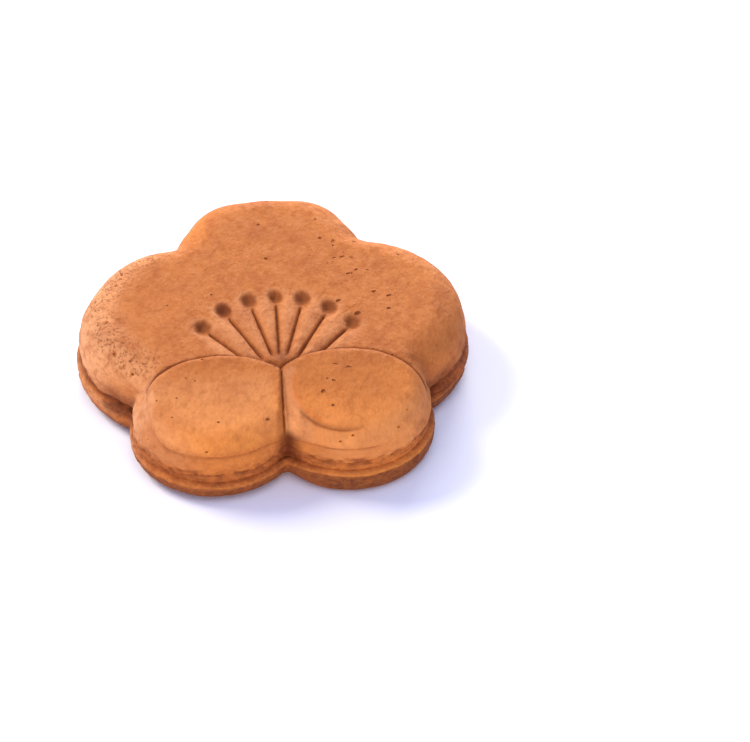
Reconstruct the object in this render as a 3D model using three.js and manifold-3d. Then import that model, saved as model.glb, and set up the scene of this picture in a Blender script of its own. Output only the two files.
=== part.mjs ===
// A baked manju in the shape of a plum blossom: a flat, filled bun baked between two iron moulds.
// It is one solid. Five round petals make its outline: three form the back of the blossom, and two
// lie in front of them as raised pads. Seven stamens fan out from where those two pads meet, each a
// thin groove that ends in a round pit. A lip runs all round where the two moulds closed.
// Millimetres, +Z up. The origin is the middle of the outline, on the surface the bun rests on.
import * as THREE from "three";
import { mergeVertices } from "three/addons/utils/BufferGeometryUtils.js";
import Module from "manifold-3d";

const wasm = await Module();
wasm.setup();

// --- Driving dimensions -----------------------------------------------------------------------

const THICKNESS = 16;

// The outline is the union of five discs. The two side and the two front ones are mirror pairs.
const BACK_PETAL = { x: 0, y: 16.9, radius: 19.1 };
const SIDE_PETAL = { x: 14.1, y: 0.6, radius: 21.9 };
const FRONT_PETAL = { x: 12, y: -20.35, radius: 15.65 };
const FRONT_WEB = { x: 0, y: -20.35, radius: 12.9 }; // fills the front notch at the top's level
const NOTCH_ROUNDING = 1.6; // how softly two discs flow into each other

// The section through the side, from the table up. An inset is measured in from the outline.
const SHELL_INSET = 3.6; // the lower shell curves in to its flat foot
const LIP_HEIGHT = 3.6; // the widest line, where the moulds closed
const LIP_TOP = { inset: 1.4, height: 4.4 }; // the lip's narrow upper face ends here
const WAIST = { inset: 1.9, height: 5.6 }; // the deepest line of the groove over the lip
const BELLY = { inset: 0.6, height: 8.3 }; // the wall's widest line
const CREASE = { inset: 1.1, height: 10 }; // the wall ends and the top begins
const SHOULDER_WIDTH = 6; // from the crease in to the flat of the top

const PAD_RISE = 0.9; // the front petals stand this much above the rest
const PAD = { x: 10.9, y: -30.6, radius: 17.2 }; // the disc whose rim is a pad's back edge
const PAD_EDGE = { width: 1.1, height: 2.2, over: 0.6 }; // the rim's rounding ends over the top
const FRONT_SLOPE = { start: -15, rate: 0.18 }; // the top falls away towards the front

// The point where the two front pads and the stamens meet. Every column of the mesh starts here.
const ROOT = { x: 0, y: -17.4 };

// The groove between the pads runs forward along the first line, then drops into the front notch.
const PAD_GROOVE = { halfWidth: 0.9, height: 2.4 };
const PAD_GROOVE_LINES = [
  [{ y: ROOT.y, z: 14.9 }, { y: -29.5, z: 11.7 }],
  [{ y: -26.5, z: 12.9 }, { y: -32.4, z: 5.6 }],
];
const STAMENS = 7;
const FAN = { halfAngle: 47.7, middle: 20.3, outer: 18.3, aim: 5 }; // degrees, then distances
const FAN_SPREAD = 0.13; // how much further apart the outer stamens stand
const FILAMENT = { halfWidth: 0.55, depth: 0.75, start: 4 };
const ANTHER = { radius: 1.5, depth: 1.1 };

// --- Mesh density -----------------------------------------------------------------------------

const OUTLINE_POINTS = 720;
const COLUMNS = 108;
const STEPS = { shell: 4, lip: 2, waist: 1, belly: 2, crease: 1, shoulder: 6, top: 9, padEdge: 4 };
const PAD_SIDES = 96;
const BALL_SIDES = 14;
const HALVINGS = 20; // how often the search along a column halves its step

// --- Small helpers ----------------------------------------------------------------------------

const lerp = THREE.MathUtils.lerp;

// A quarter of a circle: 0 at 0, upright there, and level from 1 on.
const quarterRound = (t) => {
  const share = THREE.MathUtils.clamp(t, 0, 1);
  return Math.sqrt(1 - (1 - share) ** 2);
};

const smoothMax = (a, b, rounding) => {
  const near = Math.max(rounding - Math.abs(a - b), 0) / rounding;
  return Math.max(a, b) + (near * near * rounding) / 4;
};

// Turns a closed three.js geometry into a solid that can be joined and cut.
function solidOf(geometry) {
  const bare = geometry.clone();
  bare.deleteAttribute("normal");
  bare.deleteAttribute("uv");
  const merged = mergeVertices(bare);
  return new wasm.Manifold(
    new wasm.Mesh({
      numProp: 3,
      vertProperties: new Float32Array(merged.getAttribute("position").array),
      triVerts: new Uint32Array(merged.getIndex().array),
    }),
  );
}

function geometryOf(solid) {
  const { vertProperties, triVerts } = solid.getMesh();
  const geometry = new THREE.BufferGeometry();
  geometry.setAttribute("position", new THREE.BufferAttribute(vertProperties, 3));
  geometry.setIndex(new THREE.BufferAttribute(triVerts, 1));
  geometry.computeVertexNormals();
  return geometry;
}

// --- Outline ----------------------------------------------------------------------------------

const mirrored = (petal) => [petal, { ...petal, x: -petal.x }];
const PETALS = [BACK_PETAL, ...mirrored(SIDE_PETAL), ...mirrored(FRONT_PETAL)];

// How far a ray from the root reaches before it leaves a disc on its far side.
function reachAcross(petal, angle) {
  const dx = petal.x - ROOT.x;
  const dy = petal.y - ROOT.y;
  const along = dx * Math.cos(angle) + dy * Math.sin(angle);
  const square = petal.radius ** 2 - dx * dx - dy * dy + along * along;
  return square > 0 ? along + Math.sqrt(square) : 0;
}

function reachAcrossAll(discs, angle) {
  return discs.reduce((reach, disc) => smoothMax(reach, reachAcross(disc, angle), NOTCH_ROUNDING), 0);
}

function pointAt(angle, reach) {
  return new THREE.Vector2(ROOT.x + reach * Math.cos(angle), ROOT.y + reach * Math.sin(angle));
}

function makeOutline(discs) {
  const points = Array.from({ length: OUTLINE_POINTS }, (_, i) => {
    const angle = (2 * Math.PI * i) / OUTLINE_POINTS;
    return pointAt(angle, reachAcrossAll(discs, angle));
  });
  return { discs, points };
}

const LIP_OUTLINE = makeOutline(PETALS);
const TOP_OUTLINE = makeOutline([...PETALS, FRONT_WEB]);

// The distance from a point inside to the nearest stretch of an outline.
function insetOf(outline, point) {
  let nearest = Infinity;
  outline.points.forEach((a, i) => {
    const b = outline.points[(i + 1) % OUTLINE_POINTS];
    const ex = b.x - a.x;
    const ey = b.y - a.y;
    const share = ((point.x - a.x) * ex + (point.y - a.y) * ey) / (ex * ex + ey * ey);
    const t = THREE.MathUtils.clamp(share, 0, 1);
    nearest = Math.min(nearest, Math.hypot(point.x - a.x - t * ex, point.y - a.y - t * ey));
  });
  return nearest;
}

// Where a column crosses the curve that lies a given inset inside an outline.
function pointAtInset(outline, angle, inset) {
  let inside = 0;
  let outside = reachAcrossAll(outline.discs, angle);
  for (let halvings = 0; halvings < HALVINGS; halvings += 1) {
    const middle = (inside + outside) / 2;
    if (insetOf(outline, pointAt(angle, middle)) > inset) inside = middle;
    else outside = middle;
  }
  return pointAt(angle, inside);
}

// Column directions from the root that are evenly spaced along the outline.
function columnAngles() {
  const lengths = [0];
  LIP_OUTLINE.points.forEach((point, i) => {
    const next = LIP_OUTLINE.points[(i + 1) % OUTLINE_POINTS];
    lengths.push(lengths[i] + point.distanceTo(next));
  });
  const total = lengths[OUTLINE_POINTS];
  return Array.from({ length: COLUMNS }, (_, column) => {
    const wanted = (total * column) / COLUMNS;
    const i = lengths.findIndex((length) => length > wanted) - 1;
    const share = (wanted - lengths[i]) / (lengths[i + 1] - lengths[i]);
    return (2 * Math.PI * (i + share)) / OUTLINE_POINTS;
  });
}

const COLUMN_ANGLES = columnAngles();

// --- Bun --------------------------------------------------------------------------------------

// The level of the top at its flat middle, which falls away towards the front.
function plateau(y, rise) {
  const fall = FRONT_SLOPE.rate * Math.max(0, FRONT_SLOPE.start - y);
  return THICKNESS - PAD_RISE + rise - fall;
}

function topHeight(point, inset, rise) {
  const share = quarterRound((inset - CREASE.inset) / SHOULDER_WIDTH);
  return lerp(CREASE.height, plateau(point.y, rise), share);
}

// Stations are lines that run all round the side of the bun, each at an inset and a height. Up the
// wall they pass from the outline of the lip to that of the top, by `share`.
function sideStations() {
  const stations = [];
  const stretch = (steps, first, station) => {
    for (let i = first; i <= steps; i += 1) stations.push(station(i / steps));
  };
  stretch(STEPS.shell, 0, (t) => ({
    share: 0,
    inset: SHELL_INSET * (1 - Math.sin((t * Math.PI) / 2)),
    height: LIP_HEIGHT * (1 - Math.cos((t * Math.PI) / 2)),
  }));
  stretch(STEPS.lip, 1, (t) => ({
    share: 0,
    inset: LIP_TOP.inset * (1 - Math.cos((t * Math.PI) / 2)),
    height: lerp(LIP_HEIGHT, LIP_TOP.height, Math.sin((t * Math.PI) / 2)),
  }));
  const wall = (steps, from, to) => {
    stretch(steps, 1, (t) => {
      const height = lerp(from.height, to.height, t);
      const share = (height - LIP_TOP.height) / (CREASE.height - LIP_TOP.height);
      const inset = lerp(from.inset, to.inset, (1 - Math.cos(t * Math.PI)) / 2);
      return { share, inset, height };
    });
  };
  wall(STEPS.waist, LIP_TOP, WAIST);
  wall(STEPS.belly, WAIST, BELLY);
  wall(STEPS.crease, BELLY, CREASE);
  return stations;
}

// A bun whose top stands `rise` above the plateau of the back petals.
function bunSolid(rise) {
  const rings = sideStations().map(({ share, inset, height }) =>
    COLUMN_ANGLES.map((angle) => {
      const low = pointAtInset(LIP_OUTLINE, angle, inset);
      const high = pointAtInset(TOP_OUTLINE, angle, inset);
      const point = low.lerp(high, share);
      return new THREE.Vector3(point.x, point.y, height);
    }),
  );
  for (let i = 1; i <= STEPS.shoulder; i += 1) {
    const inset = CREASE.inset + SHOULDER_WIDTH * (i / STEPS.shoulder) ** 2;
    rings.push(
      COLUMN_ANGLES.map((angle) => {
        const point = pointAtInset(TOP_OUTLINE, angle, inset);
        return new THREE.Vector3(point.x, point.y, topHeight(point, inset, rise));
      }),
    );
  }
  const edge = rings.at(-1).map((point) => Math.hypot(point.x - ROOT.x, point.y - ROOT.y));
  for (let i = 1; i < STEPS.top; i += 1) {
    const share = 1 - i / STEPS.top;
    rings.push(COLUMN_ANGLES.map((angle, column) => topPoint(angle, edge[column] * share, rise)));
  }
  return solidOf(closedSurface(rings, topPoint(0, 0, rise)));
}

function topPoint(angle, reach, rise) {
  const point = pointAt(angle, reach);
  return new THREE.Vector3(point.x, point.y, topHeight(point, insetOf(TOP_OUTLINE, point), rise));
}

// Joins rings into one closed surface, with a pole in the foot under the root and one at the root.
function closedSurface(rings, rootPoint) {
  const foot = new THREE.Vector3(ROOT.x, ROOT.y, 0);
  const points = [...rings.flat(), foot, rootPoint];
  const footPole = points.length - 2;
  const rootPole = points.length - 1;
  const lastRing = (rings.length - 1) * COLUMNS;
  const faces = [];
  for (let column = 0; column < COLUMNS; column += 1) {
    const next = (column + 1) % COLUMNS;
    faces.push(next, column, footPole, lastRing + column, lastRing + next, rootPole);
    for (let start = 0; start < lastRing; start += COLUMNS) {
      const above = start + COLUMNS;
      faces.push(start + column, start + next, above + next);
      faces.push(start + column, above + next, above + column);
    }
  }
  const geometry = new THREE.BufferGeometry().setFromPoints(points);
  geometry.setIndex(faces);
  return geometry;
}

// --- Front pads -------------------------------------------------------------------------------

// A disc with a rounded upper edge, wide enough to reach past the front of the outline.
function padDisc(x) {
  const level = THICKNESS + PAD_EDGE.over;
  const { width, height } = PAD_EDGE;
  const middle = new THREE.Vector2(PAD.radius - width, level - height);
  const rounding = new THREE.EllipseCurve(middle.x, middle.y, width, height, 0, Math.PI / 2);
  const profile = [
    new THREE.Vector2(0, LIP_TOP.height),
    new THREE.Vector2(PAD.radius, LIP_TOP.height),
    ...rounding.getPoints(STEPS.padEdge),
    new THREE.Vector2(0, level),
  ];
  const disc = new THREE.LatheGeometry(profile, PAD_SIDES);
  disc.rotateX(Math.PI / 2);
  disc.translate(x, PAD.y, 0);
  return solidOf(disc);
}

function padsSolid() {
  const discs = padDisc(PAD.x).add(padDisc(-PAD.x));
  return bunSolid(PAD_RISE).intersect(discs);
}

// --- Stamens and grooves ----------------------------------------------------------------------

// A V-shaped bar, point down, whose point runs from one place to another.
function wedge(from, to, halfWidth, height) {
  const section = new THREE.Shape();
  section.moveTo(0, 0);
  section.lineTo(halfWidth, height);
  section.lineTo(-halfWidth, height);
  section.closePath();
  const bar = new THREE.ExtrudeGeometry(section, { depth: from.distanceTo(to), bevelEnabled: false });
  const forward = to.clone().sub(from).normalize();
  const aside = new THREE.Vector3().crossVectors(new THREE.Vector3(0, 0, 1), forward).normalize();
  const up = new THREE.Vector3().crossVectors(forward, aside);
  bar.applyMatrix4(new THREE.Matrix4().makeBasis(aside, up, forward).setPosition(from));
  return solidOf(bar);
}

// A ball whose lowest part dips into the top as a round pit.
function pit(tip, level) {
  const ball = (ANTHER.radius ** 2 + ANTHER.depth ** 2) / (2 * ANTHER.depth);
  const sphere = new THREE.SphereGeometry(ball, BALL_SIDES, BALL_SIDES);
  sphere.rotateX(Math.PI / 2);
  sphere.translate(tip.x, tip.y, level - ANTHER.depth + ball);
  return solidOf(sphere);
}

// The stamens' grooves aim at the root in the middle of the fan, and further forward at its sides.
function stamenSolids() {
  const level = THICKNESS - PAD_RISE;
  return Array.from({ length: STAMENS }, (_, i) => {
    const across = (2 * i) / (STAMENS - 1) - 1;
    const spread = 1 - FAN_SPREAD + FAN_SPREAD * across ** 2;
    const angle = THREE.MathUtils.degToRad(90 - FAN.halfAngle * across * spread);
    const tip = pointAt(angle, lerp(FAN.middle, FAN.outer, across ** 2));
    const aim = new THREE.Vector2(ROOT.x, ROOT.y - FAN.aim * Math.abs(across));
    const start = aim.clone().lerp(tip, (FILAMENT.start + ROOT.y - aim.y) / tip.distanceTo(aim));
    const bottom = level - FILAMENT.depth;
    const from = new THREE.Vector3(start.x, start.y, bottom);
    const to = new THREE.Vector3(tip.x, tip.y, bottom);
    const filament = wedge(from, to, 2 * FILAMENT.halfWidth, 2 * FILAMENT.depth);
    return filament.add(pit(tip, level));
  });
}

function padGrooveSolid() {
  const cuts = PAD_GROOVE_LINES.map((line) => {
    const [from, to] = line.map(({ y, z }) => new THREE.Vector3(ROOT.x, y, z));
    return wedge(from, to, PAD_GROOVE.halfWidth, PAD_GROOVE.height);
  });
  return cuts.reduce((all, one) => all.add(one));
}

// --- Whole ------------------------------------------------------------------------------------

function manjuGeometry() {
  const stamens = stamenSolids().reduce((all, one) => all.add(one));
  const top = bunSolid(0).subtract(stamens);
  return geometryOf(top.add(padsSolid()).subtract(padGrooveSolid()));
}

const crust = new THREE.MeshStandardMaterial({ color: 0xd98a52, roughness: 0.75, metalness: 0 });

const manju = new THREE.Group();
const bun = new THREE.Mesh(manjuGeometry(), crust);
bun.name = "bun";
manju.add(bun);

export default manju;
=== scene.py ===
"""A baked manju in the shape of a plum blossom, laid on a pale table under soft light.

The bun is one closed mesh that a Geometry Nodes tree forms from a few sizes: five round petals, a
section that runs all round them, two raised front petals, a fan of stamens, a crumbly waist over the
lip, and the pores of the crust. Run as a script, it forms the bun and the stage round the fixed part.
"""

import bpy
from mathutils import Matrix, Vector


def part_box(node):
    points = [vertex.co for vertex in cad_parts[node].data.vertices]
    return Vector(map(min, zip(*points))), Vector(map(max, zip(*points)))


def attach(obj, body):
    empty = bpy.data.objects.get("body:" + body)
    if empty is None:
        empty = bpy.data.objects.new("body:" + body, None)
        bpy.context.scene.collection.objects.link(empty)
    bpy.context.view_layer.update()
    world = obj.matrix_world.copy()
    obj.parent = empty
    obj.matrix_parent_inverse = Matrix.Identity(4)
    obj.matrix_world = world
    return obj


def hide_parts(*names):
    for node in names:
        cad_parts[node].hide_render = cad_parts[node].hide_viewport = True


bl_info = {
    "name": "Plum Blossom Manju",
    "version": (1, 0, 0),
    "blender": (4, 5, 0),
    "location": "View3D > Sidebar > Manju",
    "description": "Forms a baked manju in the shape of a plum blossom, and a stage to show it on",
    "category": "Object",
}

import math
from types import SimpleNamespace

import bpy
from bpy.props import FloatProperty, FloatVectorProperty, IntProperty, PointerProperty
from mathutils import Vector

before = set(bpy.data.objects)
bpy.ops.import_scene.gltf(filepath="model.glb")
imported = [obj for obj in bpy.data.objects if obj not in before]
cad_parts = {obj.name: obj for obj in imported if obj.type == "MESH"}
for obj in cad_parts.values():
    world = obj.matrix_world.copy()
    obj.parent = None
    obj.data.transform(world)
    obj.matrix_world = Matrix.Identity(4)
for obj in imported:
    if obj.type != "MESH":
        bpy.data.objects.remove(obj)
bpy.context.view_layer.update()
CAD_LOW, CAD_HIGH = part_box("bun")

# The bun is drawn up in millimetres for a width of 72. MM is one of them, in metres of the frame.
DRAWN_WIDTH = 72.0
MM = (CAD_HIGH.x - CAD_LOW.x) / DRAWN_WIDTH

# --- The drawing of the bun, in millimetres ---

# Discs whose union is the outline, as (x, y, radius).
BACK_PETAL = (0.0, 16.9, 19.1)
SIDE_PETALS = [(14.1, 0.6, 21.9), (-14.1, 0.6, 21.9)]
FRONT_PETALS = [(12.0, -20.35, 15.65), (-12.0, -20.35, 15.65)]
CROWN = [(5.9, 25.2, 10.0), (-5.0, 24.6, 10.8)]  # they flatten the crown of the back petal
FULLER_LEFT = (-18.4, 7.5, 14.9)  # it fills the left-hand petal at its back
PETALS = [BACK_PETAL, *SIDE_PETALS, *FRONT_PETALS, *CROWN, FULLER_LEFT]
FRONT_WEB = (0.0, -20.35, 12.9)  # fills the front notch at the level of the top
NOTCH_ROUNDING = 1.2

# Lines round the side: how far each lies inside the outline and how high it lies on the plain
# section, with the millimetres by which each feature of the side moves it.
SIDE_INSETS = {
    "crease": (1.1, {"flank": 2.5, "cleft": 1.5}),
    "belly": (0.6, {"front": 0.35, "beside": 0.15, "nook": 0.5, "cleft": 1.3}),
    "waist": (2.2, {"front": -0.8, "nook": 1.1, "closed": -1.35, "flank": -0.7}),
    "lip": (1.4, {"beside": -0.6, "closed": -0.55, "flank": -0.7}),
}
CREASE_HEIGHT = (10.0, {"flank": 2.5})
BELLY_HEIGHT = (8.3, {"left_front": -1.2, "nook": -1.35})
WAIST_HEIGHT = 5.6
LIP_TOP_HEIGHT = 4.4
LIP_RAISED = {"right_front": 0.85, "front": -0.25}  # on top of its plain height
SHOULDER_CORNER = 0.15  # 0 lets the shoulder flow into the flat of the top, 1 is a plain bevel
QUARTER_TURN = math.pi / 2

ROOT_Y = -17.4  # the two front petals and the stamens meet here, on the middle line
PADS = [(10.9, -30.6, 17.2), (-10.9, -30.6, 17.2)]  # discs whose rims are the pads' back edges
PAD_EDGE_WIDTH = 1.5  # a pad rises from its edge over this width
PAD_FRONT_Y = -34.0
SLOPE_START = -15.0  # the top falls away in front of this
CLEFT_DEPTHS = (0.7, 1.8)  # at its back and at its front
RIGHT_STEP = (11.6, -22.0, 9.7)  # disc whose rim is a shallow step in the right-hand pad
RIGHT_STEP_DEPTH = 0.65

STAMENS = 7
STAMEN_LENGTH = 20.3  # the middle one, from the root to its pit
OUTER_STAMENS_SHORTER = 2.0
OUTER_STAMENS_AIM = 5.0  # an outer stamen's line points this far in front of the root
LINE_SHARE = 0.96  # of the way from its pit to the point it is aimed at
LINE_WIDTH, LINE_DEPTH = 0.25, 0.5
LINE_BED_WIDTH, LINE_BED_DEPTH = 1.1, 0.42  # the softer dent that the line lies in
LINE_SHADE_WIDTH = 0.24  # the painted shade in it, and in the cleft
PIT_SQUEEZE = 0.63  # a pit's width over its length
PIT_RIM_DEPTH = 0.25
MIDDLE_PIT_SMALLER = 0.2
ROOT_DIMPLE_DEPTH = 0.2

# How far over the surface, from the middle of the top to the middle of the foot, each stretch ends.
TOP_END = 0.46
SHOULDER_END = 0.62
BELLY_END = 0.68
WAIST_END = 0.76
WALL_END = 0.8
LIP_END = 0.86
SHELL_END = 0.95

SEGMENTS = 1000  # round the side
RINGS = 380  # from the top to the foot
KEPT_TRIANGLES = 0.25  # share of them, once the pores are cut
SHARP_ANGLE = math.radians(48.0)  # the rims of the pores

# How far each kind of roughness moves the skin, in millimetres.
SKIN_DEPTH = 0.07
STREAK_DEPTH = 0.016
WRINKLE_DEPTH = 0.24
FOLD_DEPTH = 0.32
NIBBLE_DEPTH = 0.35
GRAIN_DEPTH = 0.26


class Socket:
    """A node's output. Arithmetic on it adds Math nodes to its tree."""

    def __init__(self, graph, output):
        self.graph = graph
        self.output = output

    def named(self, name):
        """Another output of the same node."""
        return Socket(self.graph, self.output.node.outputs[name])

    def __add__(self, other):
        return self.graph.math("ADD", self, other)

    def __sub__(self, other):
        return self.graph.math("SUBTRACT", self, other)

    def __rsub__(self, other):
        return self.graph.math("SUBTRACT", other, self)

    def __mul__(self, other):
        return self.graph.math("MULTIPLY", self, other)

    def __truediv__(self, other):
        return self.graph.math("DIVIDE", self, other)

    def __rtruediv__(self, other):
        return self.graph.math("DIVIDE", other, self)

    def __neg__(self):
        return self.graph.math("MULTIPLY", self, -1.0)

    __radd__ = __add__
    __rmul__ = __mul__


class Graph:
    """Adds nodes to a geometry or shader tree, by their type, settings and inputs."""

    def __init__(self, tree):
        self.tree = tree

    def node(self, kind, settings=None, inputs=None):
        node = self.tree.nodes.new(kind)
        for name, value in (settings or {}).items():
            setattr(node, name, value)
        for key, value in (inputs or {}).items():
            if isinstance(value, Socket):
                self.tree.links.new(value.output, node.inputs[key])
            else:
                node.inputs[key].default_value = value
        shown = [output for output in node.outputs if output.enabled]
        return Socket(self, shown[0]) if shown else None

    def math(self, operation, *values):
        return self.node("ShaderNodeMath", {"operation": operation}, dict(enumerate(values)))

    def vector(self, operation, *values):
        return self.node("ShaderNodeVectorMath", {"operation": operation}, dict(enumerate(values)))

    def scaled(self, vector, factor):
        return self.node("ShaderNodeVectorMath", {"operation": "SCALE"}, {0: vector, "Scale": factor})

    def combine(self, x=0.0, y=0.0, z=0.0):
        return self.node("ShaderNodeCombineXYZ", inputs={"X": x, "Y": y, "Z": z})

    def split(self, vector):
        x = self.node("ShaderNodeSeparateXYZ", inputs={0: vector})
        return x, x.named("Y"), x.named("Z")

    def share(self, value, start, end, low=0.0, high=1.0):
        """Goes evenly from low to high as the value goes from start to end, and stays there."""
        return self.node("ShaderNodeMapRange", inputs={0: value, 1: start, 2: end, 3: low, 4: high})

    def smooth(self, value, start, end, low=0.0, high=1.0):
        """As share does, but slowly at both ends."""
        settings = {"interpolation_type": "SMOOTHSTEP"}
        return self.node("ShaderNodeMapRange", settings, {0: value, 1: start, 2: end, 3: low, 4: high})

    def mix(self, factor, a, b):
        return self.node("ShaderNodeMix", {"data_type": "FLOAT"}, {0: factor, 2: a, 3: b})

    def blend(self, factor, a, b):
        """Mixes two colours."""
        return self.node("ShaderNodeMix", {"data_type": "RGBA"}, {0: factor, 6: a, 7: b})

    def largest(self, first, *others):
        for other in others:
            first = self.math("MAXIMUM", first, other)
        return first

    def quarter_round(self, share):
        """0 at 0, upright there, and level from 1 on, as a quarter of a circle."""
        rest = 1.0 - self.share(share, 0.0, 1.0)
        return self.math("SQRT", 1.0 - rest * rest)

    def bell(self, value):
        """1 at 0, and nearly 0 from 2 on, on both sides."""
        return self.math("EXPONENT", -(value * value))

    def length(self, x, y):
        return self.math("SQRT", x * x + y * y)

    def nearest(self, target, geometry, place):
        """The point or edge of a geometry that is nearest to a place, with its position and distance."""
        inputs = {"Geometry": geometry, "Sample Position": place}
        return self.node("GeometryNodeProximity", {"target_element": target}, inputs)

    def noise(self, place, size, detail=2.0, roughness=0.5):
        """Noise from -1 to 1, with blotches about as wide as size."""
        inputs = {"Vector": place, "Scale": 1.0 / size, "Detail": detail, "Roughness": roughness}
        return self.node("ShaderNodeTexNoise", inputs=inputs) * 2.0 - 1.0


def new_geometry_tree(name, inputs, outputs):
    """A geometry tree with sockets of its own, each given as (name, kind)."""
    tree = bpy.data.node_groups.new(name, "GeometryNodeTree")
    for socket, kind in inputs:
        tree.interface.new_socket(socket, in_out="INPUT", socket_type="NodeSocket" + kind)
    for socket, kind in outputs:
        tree.interface.new_socket(socket, in_out="OUTPUT", socket_type="NodeSocket" + kind)
    return tree


# --- The outline ---


def outline_reach_tree():
    """A node group: how far the outline lies from the middle in a direction.

    With Web at 1 the front notch is filled, as it is at the level of the top.
    """
    tree = new_geometry_tree("Outline Reach", [("Angle", "Float"), ("Web", "Float")], [("Reach", "Float")])
    graph = Graph(tree)
    angle = graph.node("NodeGroupInput")
    across = graph.math("COSINE", angle)
    up = graph.math("SINE", angle)

    def reach_across(disc):
        x, y, radius = disc
        along = across * x + up * y
        square = along * along + (radius**2 - x**2 - y**2)
        reached = graph.math("GREATER_THAN", square, 0.0)
        return reached * (along + graph.math("SQRT", graph.math("MAXIMUM", square, 0.0)))

    reach = reach_across(FRONT_WEB) * angle.named("Web")
    for petal in PETALS:
        reach = graph.math("SMOOTH_MAX", reach, reach_across(petal), NOTCH_ROUNDING)
    graph.node("NodeGroupOutput", inputs={"Reach": reach})
    return tree


class Outline:
    """The bun's outline at one level, as a ring of edges and a reach in every direction."""

    POINTS = 1440

    def __init__(self, graph, reach_tree, web):
        self.graph = graph
        self.reach_tree = reach_tree
        self.web = web
        ring = graph.node("GeometryNodeMeshCircle", inputs={"Vertices": self.POINTS})
        x, y, _ = graph.split(graph.node("GeometryNodeInputPosition"))
        angle = graph.math("ARCTAN2", y, x)
        place = self.place(angle, self.reach(angle))
        self.ring = graph.node("GeometryNodeSetPosition", inputs={"Geometry": ring, "Position": place})

    def place(self, angle, reach):
        return self.graph.combine(
            self.graph.math("COSINE", angle) * reach, self.graph.math("SINE", angle) * reach
        )

    def reach(self, angle):
        settings = {"node_tree": self.reach_tree}
        return self.graph.node("GeometryNodeGroup", settings, {"Angle": angle, "Web": self.web})

    def inset(self, place):
        """How far a place lies inside the outline."""
        return self.graph.nearest("EDGES", self.ring, place).named("Distance")

    def reach_at_inset(self, angle, inset, steps=6):
        """How far from the middle, in a direction, a given inset is found."""
        reach = self.reach(angle) - inset
        for _ in range(steps):
            reach = reach - (inset - self.inset(self.place(angle, reach)))
        return reach


# --- Relief of the top ---


def front_petals(graph, x, y, size):
    """The raised pads: how far inside one a place is, the relief, the painted shade and the painted
    highlights.
    """
    inside = [radius - graph.length(x - pad_x, y - pad_y) for pad_x, pad_y, radius in PADS]
    within = graph.largest(*inside)
    rise = size["Pad Rise"] * graph.quarter_round(within / PAD_EDGE_WIDTH)
    near_root = graph.smooth(graph.math("ABSOLUTE", x), 8.0, 3.0) * graph.smooth(y, -22.0, ROOT_Y)

    # A thin groove runs along the back edge of both pads, with painted shade in it. It fades at the outer
    # end of the left one.
    behind = graph.bell((within + 0.15) / (0.42 + near_root * 0.2)) * graph.share(within, 0.3, 0.0)
    behind = behind * graph.smooth(x, -27.0, -21.0, 0.3, 1.0)
    root_shade = graph.bell((within - 0.15) / 0.35) * near_root * 0.6

    # The cleft between them leans a little to the right from back to front.
    forward = graph.smooth(y, ROOT_Y + 0.4, ROOT_Y - 0.8)
    off_line = x + graph.share(y, ROOT_Y, PAD_FRONT_Y, -0.2, 0.5)
    valley, cleft_shade = cleft(graph, off_line, y, forward)
    step, step_shade, shelf_highlight = right_step(graph, x, y)

    relief = rise - valley - behind * (0.35 + near_root * 0.25) - step
    # Painted shade in the groove behind the pads, in the cleft, at the root and along the step.
    dark = graph.largest(behind, cleft_shade, root_shade, step_shade)
    # Painted highlight on the lit slope right of the cleft.
    bevel_highlight = shelf_highlight * graph.smooth(off_line, 0.1, 0.5) * forward * graph.smooth(within, 0.0, 1.2)
    return within, relief, dark, bevel_highlight


def cleft(graph, off_line, y, forward):
    """The cleft between the pads, steep at its left and long at its right: its depth, and the painted
    shade along its line and in its valley.
    """
    to_left = graph.math("MAXIMUM", -off_line, 0.0)
    to_right = graph.math("MAXIMUM", off_line, 0.0)
    depth = graph.share(y, -20.0, -33.0, *CLEFT_DEPTHS)
    left_side = graph.bell(to_left / (depth * 0.45))
    right_side = graph.share(to_right, 2.8, 0.0) * 0.6 + graph.bell(to_right / 0.2) * 0.2
    on_left = graph.math("LESS_THAN", off_line, 0.0)
    valley = graph.mix(on_left, right_side, left_side) * forward * depth
    # Painted shade: a thin line along the cleft, and a soft wide shade in the valley at its front.
    line = graph.bell(off_line / LINE_SHADE_WIDTH) * 0.9
    shade_amount = graph.bell(off_line / 1.4) * graph.smooth(y, -25.0, PAD_FRONT_Y) * 0.55
    return valley, forward * graph.largest(line, shade_amount)


def right_step(graph, x, y):
    """The shallow step in the right-hand pad: its depth, the painted shade along it and the painted
    highlight on the lit ledge past it.
    """
    middle_x, middle_y, radius = RIGHT_STEP
    outside = graph.length(x - middle_x, y - middle_y) - radius
    drawn = graph.smooth(x, 16.0, 10.0) * graph.smooth(y, -17.5, -22.0) * graph.smooth(x, 0.0, 0.8)
    lower_edge = graph.smooth(y, -25.0, -29.0) * drawn
    step = graph.smooth(outside, -0.6, 0.35) * graph.smooth(x, 18.0, 8.0) * RIGHT_STEP_DEPTH
    step = step * drawn + graph.bell((outside - 0.4) / 0.4) * lower_edge * 0.22
    # Painted shade along the step's lower edge.
    mark = graph.bell((outside - 0.4) / 0.35) * lower_edge * 0.6
    # Painted highlight on the lit ledge past the step.
    shelf_highlight = graph.smooth(outside, -0.4, 0.4) * graph.smooth(x, 8.0, 2.5, 0.15, 1.0)
    return step, mark, shelf_highlight * graph.smooth(x, 16.0, 9.0)


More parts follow.
